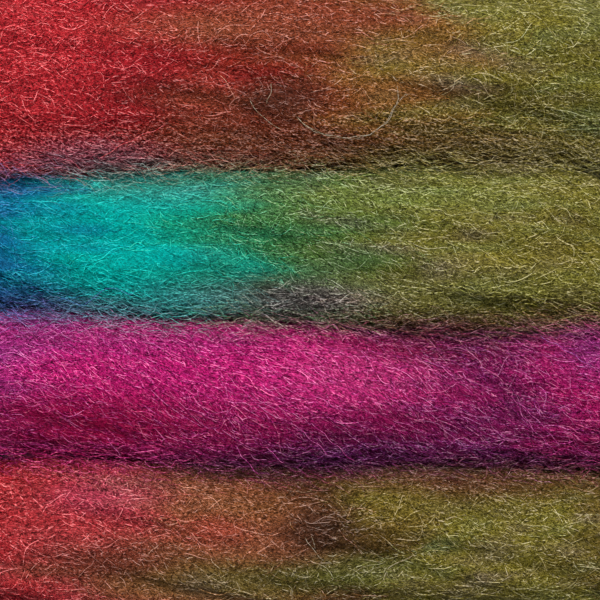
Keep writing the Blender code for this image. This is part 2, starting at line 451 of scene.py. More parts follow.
# where another dye soaked in, and, as noted below, some painted shade or light: its name, its place on the
# lay, its reach along and across, and its share
dyePatches = (
    ("rust", 0, 31, 9, 4.5, 0.4),
    ("clay", -15, 30, 8, 6.5, 0.38),
    ("peat", -3, 32, 8, 4, 0.72),
    ("peat", -24, 33, 8, 3, 0.3),
    ("clay", -8, 44, 20, 4, 0.6),
    ("umber", 8, 24.5, 46, 3.2, 0.6),
    # the lime at the first valley is a paler dye that lifts the valley's shade: partly painted light
    ("lime", 19, 21.5, 10, 2.5, 0.4),
    ("lilacGrey", -34, 23, 12, 3, 0.4),
    ("greyGreen", -16, 18.5, 20, 3, 0.35),
    ("mustard", 30, 10, 14, 5, 0.3),
    # the mustard and straw below are paler, to lift the shade of the second run's lower flank: partly painted
    # light
    ("mustard", 42, 5, 12, 6, 0.5),
    ("straw", 27, 2.4, 8, 3, 0.35),
    ("lime", 20, 17, 24, 3.5, 0.55),
    ("lime", 30, 2, 24, 3, 0.5),
    ("green", -12, 7.5, 6, 3.5, 0.35),
    ("indigo", -44, 0, 10, 3.5, 0.6),
    ("teal", -16, 4.5, 14, 3, 0.35),
    ("rose", -4, 0.2, 18, 3.2, 0.26),
    ("lilacGrey", 2, 0, 12, 2.5, 0.45),
    ("rose", -32, -6.5, 26, 2.5, 0.5),
    ("violet", -36, -2, 13, 2.5, 0.4),
    ("pink", 10, -12, 13, 5.5, 0.32),
    ("crimson", -36, -20, 22, 6, 0.8),
    ("wine", -8, -20.5, 17, 5.5, 0.5),
    ("aubergine", 8, -24, 13, 4, 0.7),
    # a dark band along the valley between the third and fourth runs: partly dye, partly painted shade
    ("aubergine", 12, -26, 36, 2.2, 0.65),
    ("aubergine", 34, -16, 9, 3, 0.25),
    # the peat and wine below darken the hollow by the second valley's right end: partly dye, partly painted
    # shade
    ("peat", 23, -3.2, 12, 2.2, 0.45),
    ("wine", 22, -7, 12, 3.5, 0.7),
    ("violet", 47, -8, 5, 4, 0.4),
    # the umber, wine and peat below darken the valley between the third and fourth runs: partly dye, partly
    # painted shade
    ("umber", 26, -29.5, 24, 3, 0.6),
    ("wine", 24, -29, 24, 2.5, 0.35),
    ("peat", -8, -27.5, 14, 2, 0.6),
    ("mustard", 14, -33, 8, 4, 0.5),
    ("pink", -31, -31, 9, 3, 0.2),
    ("tan", -6, -33, 10, 3, 0.3),
    ("umber", 7, -36.5, 8, 4, 0.4),
    ("peat", 3, -36, 6, 5, 0.7),
    ("coral", -14, -37, 6, 2.5, 0.4),
    ("umber", -27, -42, 16, 4, 0.75),
    ("moss", -8, -45, 16, 3.5, 0.7),
    ("peat", 0, -43.5, 10, 4, 0.35),
    ("leaf", 10, -43, 8, 3, 0.35),
)
soakLevel = 6  # the patches fade in from this height to twice it
patchBlur = (1.5, 0.6, 0)  # how far off a fibre takes a patch's dye
# the share of violet in the loose fibres over the dyed bed, at millimetres along
bloomChart = ((330, 0.0), (345, 0.25), (365, 0.4), (450, 0.45), (470, 0.25), (485, 0.0))


def dyeValues(name):
    code, pale = dyes[name]
    return np.array([*linear(code), pale])


def dyeAt(place):
    places, names = zip(*dyeChart)
    values = np.array([dyeValues(name) for name in names])
    return np.stack([np.interp(place, places, values[:, k]) for k in range(4)], axis=-1)


def patchShares(points):
    # how much of each patch's dye there is at a point: only the upper side was reached
    plan = points - shift
    above = smoothstep(plan[..., 2] / soakLevel - 1)
    shares = []
    for _, x, y, length, width, share in dyePatches:
        away = ((plan[..., 0] - x) / length) ** 2 + ((plan[..., 1] - y) / width) ** 2
        shares.append(share * np.exp(-(away**1.5)) * above)
    return np.stack(shares, axis=-1)


# hand dyeing leaves small clouds, where the dye from beside or a thin grey green or lilac shows more
clouds = {
    "shift": 4,  # millimetres along, to where the dye comes from
    "shiftSeed": 26,
    "shiftSize": (4, 0.9),
    "tintSeed": 58,
    "tintSize": (2.4, 0.72),
    "tint": 0.13,
    "most": 0.35,
    "takesFrom": 0.22,  # a dye that stays deeper than this hides the tint
    "takesOver": 0.03,
}
shiftCloud = softNoise(clouds["shiftSeed"], *clouds["shiftSize"])
tintCloud = softNoise(clouds["tintSeed"], *clouds["tintSize"])


def acrossAt(place, plan):
    # how far a point lies from the middle of the roving, towards its left
    xLeft, yLeft, xRight, yRight = (np.interp(place, along, stations[:, k]) for k in range(4))
    left, right = np.stack([xLeft, yLeft], axis=-1), np.stack([xRight, yRight], axis=-1)
    way = (left - right) / np.linalg.norm(left - right, axis=-1, keepdims=True)
    return ((plan[..., :2] - (left + right) / 2) * way).sum(axis=-1)


def soakedColour(place, points):
    plan = points - shift
    around = ((acrossAt(place, plan) + plan[..., 2] / 2) / skin["girth"]) % 1
    colour = dyeAt(place + clouds["shift"] * shiftCloud(place, around))
    shares = patchShares(points)
    for i, row in enumerate(dyePatches):
        colour = colour + (dyeValues(row[0]) - colour) * shares[..., i : i + 1]
    tint = clouds["tint"] * tintCloud(place, around)
    for name, share in (("greyGreen", tint), ("lilacGrey", -tint)):
        takes = np.clip((colour[..., 3] - clouds["takesFrom"]) / clouds["takesOver"], 0, 1)
        share = np.clip(share * takes, 0, clouds["most"])[..., None]
        colour = colour + (dyeValues(name) - colour) * share
    return colour


def fibreColours(place, points, migration):
    # each fibre brings its dye from a little way off
    count = len(place)
    moved = place + rng.normal(0, migration, (count, 1))
    colour = soakedColour(moved, points + rng.normal(0, 1, (count, 1, 3)) * patchBlur)
    bloom = np.interp(place, *np.array(bloomChart).T) * rng.uniform(0, 1, (count, 1))
    return colour + (dyeValues("violet") - colour) * bloom[..., None]


def addAttribute(mesh, name, kind, values):
    attribute = mesh.attributes.new(name, kind, "POINT")
    key = "color" if kind == "FLOAT_COLOR" else "value"
    attribute.data.foreach_set(key, np.asarray(values, np.float32).ravel())


def addObject(name, data):
    added = bpy.data.objects.new(name, data)
    bpy.context.scene.collection.objects.link(added)
    return added


def addPiece(name, mesh, material):
    mesh.materials.append(material)
    piece = addObject(name, mesh)
    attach(piece, "root")
    return piece


def frames(paths, normal, roll):
    # two directions square to each fibre's way, turned by its own roll
    tangent = np.gradient(paths, axis=1)
    tangent /= np.maximum(1e-9, np.linalg.norm(tangent, axis=-1, keepdims=True))
    side = np.cross(tangent, normal)
    side /= np.maximum(1e-9, np.linalg.norm(side, axis=-1, keepdims=True))
    up = np.cross(side, tangent)
    turn = roll[:, None, None]
    return side * np.cos(turn) + up * np.sin(turn), up * np.cos(turn) - side * np.sin(turn)


def bakeCells(count, steps, sides):
    # a map for baking: each fibre has its own cell, its length along u and its sides along v
    rows = 256 if sides == 2 else 64
    columns = math.ceil(count / rows)
    corner = np.stack([np.arange(count) % columns, np.arange(count) // columns], axis=-1)
    u = 0.1 + 0.8 * np.arange(steps) / (steps - 1)
    v = 0.2 + 0.6 * np.arange(sides if sides == 2 else sides + 1) / (sides - 1 if sides == 2 else sides)
    inner = np.stack(np.meshgrid(u, v, indexing="ij"), axis=-1)
    cap = np.array([(0.02, 0.2), (0.07, 0.5), (0.02, 0.8)])
    size = np.array([columns, rows])

    def placed(shape):
        return (corner.reshape(count, *(1,) * (shape.ndim - 1), 2) + shape) / size

    return placed(inner), placed(cap), placed((1, 1) - cap)


def fibreMesh(name, fibres, sides):
    # joined fibres that taper at their ends: flat ribbons where sides is 2, or else closed tubes
    paths, colours, tone = fibres["paths"], fibres["colours"], fibres["tone"]
    count, steps = paths.shape[:2]
    across, up = frames(paths, fibres["normals"], fibres["roll"])
    taper = np.minimum(1, np.minimum(np.arange(steps), np.arange(steps)[::-1]) / 1.5 + 0.25)  # to a quarter
    radius = (fibres["width"][:, None] / 2 * taper[None, :])[..., None]
    rims = []
    for k in range(sides):
        angle = 2 * np.pi * k / sides
        rims.append(paths + radius * (across * np.cos(angle) + up * np.sin(angle)))
    points = np.stack(rims, axis=2)  # fibre, step, side
    points[..., 2] = np.maximum(0.02, points[..., 2])  # over the floor
    mesh = bpy.data.meshes.new(name)
    index = np.arange(count * steps * sides).reshape(count, steps, sides)
    cells, startCap, endCap = bakeCells(count, steps, sides)
    # each face turns the way that faces outwards
    after = index[:, :, 1:] if sides == 2 else np.roll(index, -1, axis=2)
    here = index[:, :, : after.shape[2]]
    faces = [np.stack([after[:, :-1], here[:, :-1], here[:, 1:], after[:, 1:]], axis=-1).reshape(-1, 4)]
    low, high = cells[:, :, :-1], cells[:, :, 1:]
    maps = [np.stack([high[:, :-1], low[:, :-1], low[:, 1:], high[:, 1:]], axis=-2).reshape(-1, 2)]
    if sides > 2:
        faces += [index[:, 0], index[:, -1, ::-1]]
        maps += [startCap.reshape(-1, 2), endCap.reshape(-1, 2)]
    mesh.vertices.add(points.size // 3)
    mesh.vertices.foreach_set("co", (points * mm).astype(np.float32).ravel())
    loops = np.concatenate([f.ravel() for f in faces])
    sizes = np.concatenate([np.full(len(f), f.shape[1]) for f in faces])
    mesh.loops.add(len(loops))
    mesh.loops.foreach_set("vertex_index", loops.astype(np.int32))
    mesh.polygons.add(len(sizes))
    mesh.polygons.foreach_set("loop_start", (np.cumsum(sizes) - sizes).astype(np.int32))
    mesh.update(calc_edges=True)
    bake = mesh.uv_layers.new(name="OFBake")
    bake.uv.foreach_set("vector", np.concatenate(maps).astype(np.float32).ravel())
    mesh.validate()
    mesh.shade_smooth()
    for label, kind, values in (("dye", "FLOAT_COLOR", colours), ("tone", "FLOAT", tone)):
        addAttribute(mesh, label, kind, np.repeat(values[:, :, None], sides, axis=2))
    return mesh


def addNode(tree, kind, settings=None, inputs=None):
    node = tree.nodes.new(kind)
    for key, value in (settings or {}).items():
        setattr(node, key, value)
    for key, value in (inputs or {}).items():
        if isinstance(value, bpy.types.NodeSocket):
            tree.links.new(value, node.inputs[key])
        else:
            node.inputs[key].default_value = value
    return node


def ranged(tree, value, low, high, least, most):
    # maps low to high onto least to most
    inputs = {"Value": value, "From Min": low, "From Max": high, "To Min": least, "To Max": most}
    return addNode(tree, "ShaderNodeMapRange", None, inputs).outputs[0]


def worked(tree, operation, *values):
    return addNode(tree, "ShaderNodeMath", {"operation": operation}, dict(enumerate(values))).outputs[0]


# wool is matte, as its scales scatter the light; dye colours all but its palest fibres, a painted whitish
# highlight
wool = {
    "roughness": 0.6,
    "ior": 1.55,
    # the glints are painted into the fibres' tones, not reflected
    "specular": 0.02,  # the fibres' own tones give the glints
    # how pale the painted highlights of a clear and of a muted dye turn, and the contrast a clear dye keeps
    "clearDye": 0.04,  # how pale its fibres turn
    "mutedDye": 0.2,
    "clearContrast": 0.6,  # what a clear dye leaves of the fibres' contrast
    "middleTone": 0.4,
    "toneCurve": 1.1,
    "strength": (0.05, 1.78),  # of the dye, in the darkest and the lightest fibres
    "highlightPaleFrom": 0.6,  # the tone at which fibres start to turn pale
    # the whitish colour of the painted highlights
    "pale": "efeaea",
    # painted glints: the size of their dashes, and how far they lower and raise the tone
    "paintedGlintSize": 0.4,  # millimetres
    "paintedGlint": (-0.26, 0.4),
    "noiseReach": (0.38, 0.62),  # where nearly all of the noise lies
}


def toneColour(tree, tone):
    # darkens and lightens the dye with the fibre's tone, and paints a whitish highlight on the lightest, as
    # pale as the dye allows
    dye = addNode(tree, "ShaderNodeAttribute", {"attribute_name": "dye"})
    highlightPaleness = dye.outputs["Alpha"]
    contrast = ranged(tree, highlightPaleness, wool["clearDye"], wool["mutedDye"], wool["clearContrast"], 1)
    blended = {"Factor": contrast, "A": wool["middleTone"], "B": tone}
    tone = addNode(tree, "ShaderNodeMix", None, blended).outputs["Result"]
    curved = worked(tree, "POWER", tone, wool["toneCurve"])
    scaled = {0: dye.outputs["Color"], "Scale": ranged(tree, curved, 0, 1, *wool["strength"])}
    toned = addNode(tree, "ShaderNodeVectorMath", {"operation": "SCALE"}, scaled)
    pale = ranged(tree, tone, wool["highlightPaleFrom"], 1, 0, highlightPaleness)
    mixed = addNode(tree, "ShaderNodeMix", {"data_type": "RGBA"}, {"Factor": pale})
    tree.links.new(toned.outputs[0], mixed.inputs["A"])
    mixed.inputs["B"].default_value = (*linear(wool["pale"]), 1)
    return mixed.outputs["Result"]


def woolMaterial(name):
    material = bpy.data.materials.new(name)
    material.use_nodes = True
    tree = material.node_tree
    shader = tree.nodes["Principled BSDF"]
    shader.inputs["Roughness"].default_value = wool["roughness"]
    shader.inputs["IOR"].default_value = wool["ior"]
    shader.inputs["Specular IOR Level"].default_value = wool["specular"]
    return material, tree, shader


def fibreMaterial():
    # a crimped fibre turns as it goes, so it glints in dashes: a noise paints these glints into its tone
    material, tree, shader = woolMaterial("dyed_wool_fibre")
    tone = addNode(tree, "ShaderNodeAttribute", {"attribute_name": "tone"})
    place = addNode(tree, "ShaderNodeTexCoord").outputs["Object"]
    pattern = {"Vector": place, "Scale": 1 / (wool["paintedGlintSize"] * mm), "Detail": 1.0}
    paintedGlint = addNode(tree, "ShaderNodeTexNoise", None, pattern)
    dashes = ranged(tree, paintedGlint.outputs[0], *wool["noiseReach"], *wool["paintedGlint"])
    parts = {0: tone.outputs["Fac"], 1: dashes}
    summed = addNode(tree, "ShaderNodeMath", {"operation": "ADD", "use_clamp": True}, parts)
    tree.links.new(toneColour(tree, summed.outputs[0]), shader.inputs["Base Color"])
    return material


# each family of fine fibres: slant in degrees, length and spacing in millimetres, and tone
bedLines = (
    (3, 1.5, 0.27, 0.95),
    (20, 1.3, 0.27, 0.9),
    (-18, 1.3, 0.27, 0.85),
    (48, 0.9, 0.32, 0.75),
    (-43, 0.9, 0.32, 0.7),
)
bed = {
    "offset": (7.3, 3.1, 0),  # from one family's pattern to the next
    "lineWidth": 0.045,  # as a share of the noise's reach
    "noiseReach": (0.35, 0.65),
    "faint": 0.1,  # the tone of a fibre where it fades
    "tone": (0.02, 0.98),
    "bump": 0.6,
    "bumpHeight": 0.15,  # millimetres
}


def bodyMaterial():
    # combed wool under the loose fibres: short stretches of fibre that cross, with painted shade between them
    material, tree, shader = woolMaterial("dyed_wool_combed_bed")
    uv = addNode(tree, "ShaderNodeUVMap", {"uv_map": "combed"})
    tone = None
    for i, (slant, length, spacing, strength) in enumerate(bedLines):
        turn = {"Vector": uv.outputs[0], "Rotation": (0, 0, math.radians(slant))}
        turned = addNode(tree, "ShaderNodeMapping", None, turn)
        offset = [part * i for part in bed["offset"]]
        stretch = {"Location": offset, "Scale": (1 / (length * mm), 1 / (spacing * mm), 1)}
        drawn = addNode(tree, "ShaderNodeMapping", None, {"Vector": turned.outputs[0], **stretch})
        # a fibre lies where the noise crosses its middle, and fades with the noise's other channel
        pattern = {"Vector": drawn.outputs[0], "Scale": 1.0, "Detail": 1.5, "Roughness": 0.6}
        noise = addNode(tree, "ShaderNodeTexNoise", {"noise_dimensions": "2D"}, pattern)
        away = worked(tree, "ABSOLUTE", worked(tree, "SUBTRACT", noise.outputs[0], 0.5))
        shape = ranged(tree, away, 0, bed["lineWidth"], 1, 0)
        channels = addNode(tree, "ShaderNodeSeparateColor", None, {"Color": noise.outputs[1]})
        bright = ranged(tree, channels.outputs[1], *bed["noiseReach"], bed["faint"], strength)
        line = worked(tree, "MULTIPLY", shape, bright)
        tone = line if tone is None else worked(tree, "MAXIMUM", tone, line)
    tone = ranged(tree, tone, 0, 1, *bed["tone"])
    tree.links.new(toneColour(tree, tone), shader.inputs["Base Color"])
    raising = {"Height": tone, "Strength": bed["bump"], "Distance": bed["bumpHeight"] * mm}
    bump = addNode(tree, "ShaderNodeBump", None, raising)
    tree.links.new(bump.outputs[0], shader.inputs["Normal"])
    return material


# how the wool was combed: millimetres along, and the fibres' slant and tangle there in degrees
combing = (
    (0, 6, 20),
    (60, 5, 26),
    (150, 7, 24),
    (230, 10, 20),
    (262, 14, 14),
    (290, 7, 20),
    (348, 12, 18),
    (370, 20, 14),
    (430, 24, 13),
    (457, 20, 16),
    (510, 5, 24),
    (600, 8, 24),
    (658, 4, 20),
)


def combingAt(place):
    places, slants, tangles = np.array(combing).T
    return np.interp(place, places, slants), np.interp(place, places, tangles)


# the body's baking map: strips beside each other, and the two ends above them
bodyMap = {"strips": 3, "height": 0.94, "margin": 0.02}


def makeBody():
    sides, last = lay["sides"], len(along) - 1
    slopes = np.tan(np.radians(combingAt(along)[0]))
    drift = np.concatenate([[0], np.cumsum((slopes[1:] + slopes[:-1]) / 2 * np.diff(along))])
    bm = bmesh.new()
    bmesh.ops.create_cone(bm, cap_ends=True, segments=sides, radius1=1, radius2=1, depth=1)
    longEdges = [e for e in bm.edges if abs(e.verts[0].co.z - e.verts[1].co.z) > 0.5]
    bmesh.ops.subdivide_edges(bm, edges=longEdges, cuts=last - 1, use_grid_fill=True)
    ring = np.array([round((v.co.z + 0.5) * last) for v in bm.verts])
    around = np.array([math.atan2(v.co.y, v.co.x) / (2 * math.pi) for v in bm.verts]) % 1
    around = np.round(around * sides) / sides % 1
    place = along[ring]
    points = blend(skinPoints, place, around) * mm
    for vert, point in zip(bm.verts, points.tolist()):
        vert.co = point
    uv = bm.loops.layers.uv.new("combed")
    bake = bm.loops.layers.uv.new("OFBake")
    bm.verts.index_update()
    strips, margin = bodyMap["strips"], bodyMap["margin"]
    for face in bm.faces:
        rounds = [around[loop.vert.index] for loop in face.loops]
        rings = [ring[loop.vert.index] for loop in face.loops]
        wraps = max(rounds) - min(rounds) > 0.5
        strip = min(strips - 1, min(rings) * strips // last)
        start, end = (last * k // strips for k in (strip, strip + 1))
        for loop, part in zip(face.loops, rounds):
            i = loop.vert.index
            across = part + 1 if wraps and part < 0.5 else part
            size = perimeter[ring[i]]
            loop[uv].uv = (place[i] * mm, (across * size - drift[ring[i]]) * mm)
            if len(face.loops) > 4:
                turn, middle = 2 * math.pi * part, 0.05 + 0.1 * (ring[i] > 0)
                loop[bake].uv = (middle + margin * math.cos(turn), 0.97 + margin * math.sin(turn))
            else:
                share = (ring[i] - start) / (end - start)
                u, v = margin / 2 + (1 - margin) * share, strip + margin + (1 - 2 * margin) * across
                loop[bake].uv = (u, v * bodyMap["height"] / strips)
    if bm.calc_volume(signed=True) < 0:
        bmesh.ops.reverse_faces(bm, faces=bm.faces)
    mesh = bpy.data.meshes.new("combed_body")
    bm.to_mesh(mesh)
    bm.free()
    mesh.shade_smooth()
    addAttribute(mesh, "dye", "FLOAT_COLOR", soakedColour(place, points / mm))
    return addPiece("combed_body", mesh, bodyMaterial())


body = makeBody()
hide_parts("roving")
print(f"body: {len(body.data.polygons)} faces")

# how much single fibres differ from the settings of their kind
variety = {
    "length": (0.55, 1.45),
    "curl": 0.5,
    "sway": (0.2, 1.4),
    "rise": (1.5, 0.6),  # the spread of the heights at which they lie
    "ripple": 0.04,
    "toneWave": 0.08,
    # painted glints along each fibre, as a share of its kind's tone spread
    "paintedGlintGrain": 1.2,
    "mostRoll": 1.3,  # radians
    "width": (0.7, 1.3),
}


def bent(count, steps, settings, heading):
    # each fibre's run on the flat, as steps along and across from its middle, and its crimp's phase
    length = settings["length"] * rng.uniform(*variety["length"], (count, 1))
    t = np.linspace(0, 1, steps)[None, :]
    way = t * length
    curl = np.radians(rng.normal(0, settings["curl"], (count, 1))) * (t - 0.5)
    curve = np.radians(rng.normal(0, settings["curl"] * variety["curl"], (count, 1)))
    curl = curl + curve * np.sin(2 * np.pi * t)
    wave = rng.uniform(*settings["wave"], (count, 1))
    phase = 2 * np.pi * way / wave + rng.uniform(0, 6.28, (count, 1))
    sway = settings["sway"] * rng.uniform(*variety["sway"], (count, 1))
    direction = heading[:, None] + curl + np.radians(sway) * np.sin(phase)
    step = np.diff(way, axis=1, prepend=0)
    goAlong = np.cumsum(np.cos(direction) * step, axis=1)
    goAcross = np.cumsum(np.sin(direction) * step, axis=1)
    middle = steps // 2
    return goAlong - goAlong[:, middle : middle + 1], goAcross - goAcross[:, middle : middle + 1], t, phase


def upwards(paths):
    return np.broadcast_to((0.0, 0.0, 1.0), paths.shape)


def dressed(paths, normals, colours, phase, settings):
    # each fibre has its own tone, turn and width, and painted glints change its tone from point to point
    count, spread = len(paths), settings["toneSpread"]
    tone = settings["tone"] + rng.normal(0, spread, (count, 1)) + variety["toneWave"] * np.sin(phase + 1)
    tone = tone + rng.normal(0, variety["paintedGlintGrain"] * spread, phase.shape)
    return {
        "paths": paths,
        "normals": normals,
        "colours": colours,
        "tone": np.clip(tone, 0, 1),
        "roll": np.clip(rng.normal(0, settings["roll"], count), -variety["mostRoll"], variety["mostRoll"]),
        "width": settings["width"] * rng.uniform(*variety["width"], count),
    }


def joined(parts):
    return {key: np.concatenate([part[key] for part in parts]) for key in parts[0]}


def combed(settings):
    # fibres that lie on the skin, waved and lifted a little, as arrays with one row for each fibre
    count, steps = settings["count"], settings["segments"] + 1
    place = rng.uniform(*settings.get("span", (0, fullLength)), count)
    around = (0.5 + settings["reach"] * rng.uniform(-1, 1, count)) % 1
    slant, tangle = combingAt(place)
    slant = slant + settings.get("lean", 0)
    heading = np.radians(slant + rng.normal(0, settings["tangle"], count) * tangle)
    goAlong, goAcross, t, phase = bent(count, steps, settings, heading)
    places = place[:, None] + goAlong
    arounds = around[:, None] + goAcross / np.interp(places, along, perimeter)
    rise = settings["lift"] * rng.gamma(*variety["rise"], (count, 1))
    lift = (rise + settings["sink"]) * np.sin(np.pi * t) ** 0.6 - settings["sink"]
    lift = lift + variety["ripple"] * np.sin(phase * 0.9 + 1.3)
    paths, normal = onSkin(places, arounds, lift)
    fibres = dressed(paths, normal, fibreColours(places, paths, settings["migration"]), phase, settings)
    keep = ((places > 0.5) & (places < fullLength - 0.5)).all(axis=1)
    return {key: values[keep] for key, values in fibres.items()}


bedFibres = {
    "name": "bed_fibres",
    "pieces": 2,
    "count": 20000,
    "segments": 4,
    "length": 2.4,
    "reach": 0.36,
    "tangle": 1.15,
    "curl": 30,
    "wave": (2.2, 4.5),
    "sway": 16,
    "lift": 0.12,
    "sink": 0.03,
    "migration": 2.5,
    # lower than the top fibres' tone: painted shade of the lower layer
    "tone": 0.35,
    "toneSpread": 0.24,
    "roll": 0.6,
    "width": 0.085,
}
topFibres = {
    **bedFibres,
    "name": "top_fibres",
    "count": 10500,
    "segments": 8,
    "length": 5.4,
    "curl": 36,
    "wave": (3.5, 8),
    "sway": 10,
    "lift": 0.25,
    "sink": 0.05,
    "migration": 3,
    "tone": 0.43,
    "toneSpread": 0.25,
    "roll": 0.7,
    "width": 0.066,
}
haloFibres = {
    "count": 740,
    "segments": 14,
    "length": 12,
    "reach": 0.37,
    "tangle": 2.2,
    "curl": 90,
    "wave": (4, 9),
    "sway": 14,
    "lift": 0.9,
    "sink": 0.05,
    "migration": 4,
    "tone": 0.45,
    "toneSpread": 0.16,
    "roll": 3,
    "width": 0.065,
}
# long straight fibres that were drawn slantwise over the magenta run
sweptFibres = {
    **haloFibres,
    "span": (352, 492),
    "count": 170,
    "length": 7.5,
    "reach": 0.3,
    "lean": 13,
    "tangle": 0.8,
    "curl": 14,
    "wave": (6, 12),
    "sway": 4,
    "lift": 0.5,
    "tone": 0.7,
    "toneSpread": 0.12,
}
fibreWool = fibreMaterial()


def addFibres(name, fibres, sides):
    addPiece(name, fibreMesh(name, fibres, sides), fibreWool)


for settings in (bedFibres, topFibres):
    for i in range(settings["pieces"]):
        addFibres(f"{settings['name']}_{i + 1}", combed(settings), 2)
addFibres("halo_fibres", joined([combed(haloFibres), combed(sweptFibres)]), 3)
print("combed fibres made")

# heights over the plan, for the fibres that lie over the valleys
heights = {"cell": 0.5, "margin": 8, "samples": (1800, 220), "sides": (0.15, 0.85), "fill": 9, "soften": 3}


def topOfLay():
    # the lay's upper surface, as one height for each cell of its plan
    low = skinPoints.reshape(-1, 3).min(0)[:2] - heights["margin"]
    high = skinPoints.reshape(-1, 3).max(0)[:2] + heights["margin"]
    size = np.ceil((high - low) / heights["cell"]).astype(int) + 1
    rows, columns = heights["samples"]
    places, arounds = np.linspace(0, fullLength, rows), np.linspace(*heights["sides"], columns)
    place, around = np.meshgrid(places, arounds, indexing="ij")
    points = blend(skinPoints, place, around).reshape(-1, 3)
    cells = np.round((points[:, :2] - low) / heights["cell"]).astype(int)
    top = np.zeros(size)
    np.maximum.at(top, (cells[:, 0], cells[:, 1]), points[:, 2])
    return low, pooled(top, 1, np.max)


def pooled(field, reach, pick):
    # each cell takes the highest, the lowest or the mean of the cells within its reach
    for axis in (0, 1):
        field = pick([np.roll(field, k, axis) for k in range(-reach, reach + 1)], axis=0)
    return field


planLow, topField = topOfLay()
# the same without its valleys
filledField = pooled(pooled(topField, heights["fill"], np.max), heights["fill"], np.min)
filledField = pooled(filledField, heights["soften"], np.mean)
topField = pooled(topField, 1, np.mean)


def heightAt(field, x, y):
    column = np.clip((y - planLow[1]) / heights["cell"], 0, field.shape[1] - 1.001)
    return sample(field, (x - planLow[0]) / heights["cell"], column)


def placeAt(run, x):
    start, stop = runSpans[run]
    xs, places = stations[start:stop, 0], along[start:stop]
    order = np.argsort(xs)
    return np.interp(x, xs[order], places[order])


bridgeFibres = {
    "halfSpan": 62,
    "segments": 5,
    "length": 3.8,
    "curl": 34,
    "wave": (3, 6),
    "sway": 10,
    "tangle": 18,
    "slant": -8,
    "clear": 0.15,  # over the wool below
    "migration": 3,
    "farShare": 0.6,  # of the far run's dye at the valley's edge
    "farRise": 0.35,  # across the valley
    "farSpread": 0.12,
    "toneSpread": 0.14,
    "roll": 0.7,
    "width": 0.07,
}
# each valley's edge, the run on its far side, how far off the edge the fibres lie and how far they spread,
# how full they make it, how many there are, their tone, lower in the darker valleys as painted shade,
# and how the far dye's share grows along it
valleys = (
    ("first", 0, 2.2, 3.0, 0.66, 5600, 0.4, 0),
    ("second", 1, 1.2, 2.6, 0.55, 3800, 0.36, -0.007),
    ("third", 2, 0.0, 2.4, 0.4, 2500, 0.28, 0),
)


def bridged(edgeName, farRun, offset, spread, full, count, tone, tilt):
    settings = {**bridgeFibres, "tone": tone}
    steps = settings["segments"] + 1
    x = rng.uniform(-settings["halfSpan"], settings["halfSpan"], count)
    edge = np.array([edgeAt(edgeName, value) for value in x])
    y = edge + offset + rng.normal(0, spread, count)
    heading = np.radians(settings["slant"] + rng.normal(0, settings["tangle"], count))
    goAlong, goAcross, _, phase = bent(count, steps, settings, heading)
    xs, ys = x[:, None] + goAlong + shift[0], y[:, None] + goAcross + shift[1]
    level = full * rng.beta(1.6, 1.4, (count, 1)) * 1.5
    ground = heightAt(topField, xs, ys) + settings["clear"]
    zs = ground + np.clip(level, 0, 1) * np.maximum(0, heightAt(filledField, xs, ys) - ground)
    paths = np.stack([xs, ys, zs], axis=-1)
    share = settings["farShare"] + tilt * x + settings["farRise"] * (y - edge) / spread
    share = smoothstep(share + rng.normal(0, settings["farSpread"], count))[:, None, None]
    places = [np.repeat(placeAt(farRun + k, x)[:, None], steps, 1) for k in (0, 1)]
    far, near = (fibreColours(place, paths, settings["migration"]) for place in places)
    return dressed(paths, upwards(paths), near + (far - near) * share, phase, settings)


addFibres("bridging_fibres", joined([bridged(*row) for row in valleys]), 2)
print("bridging fibres made")

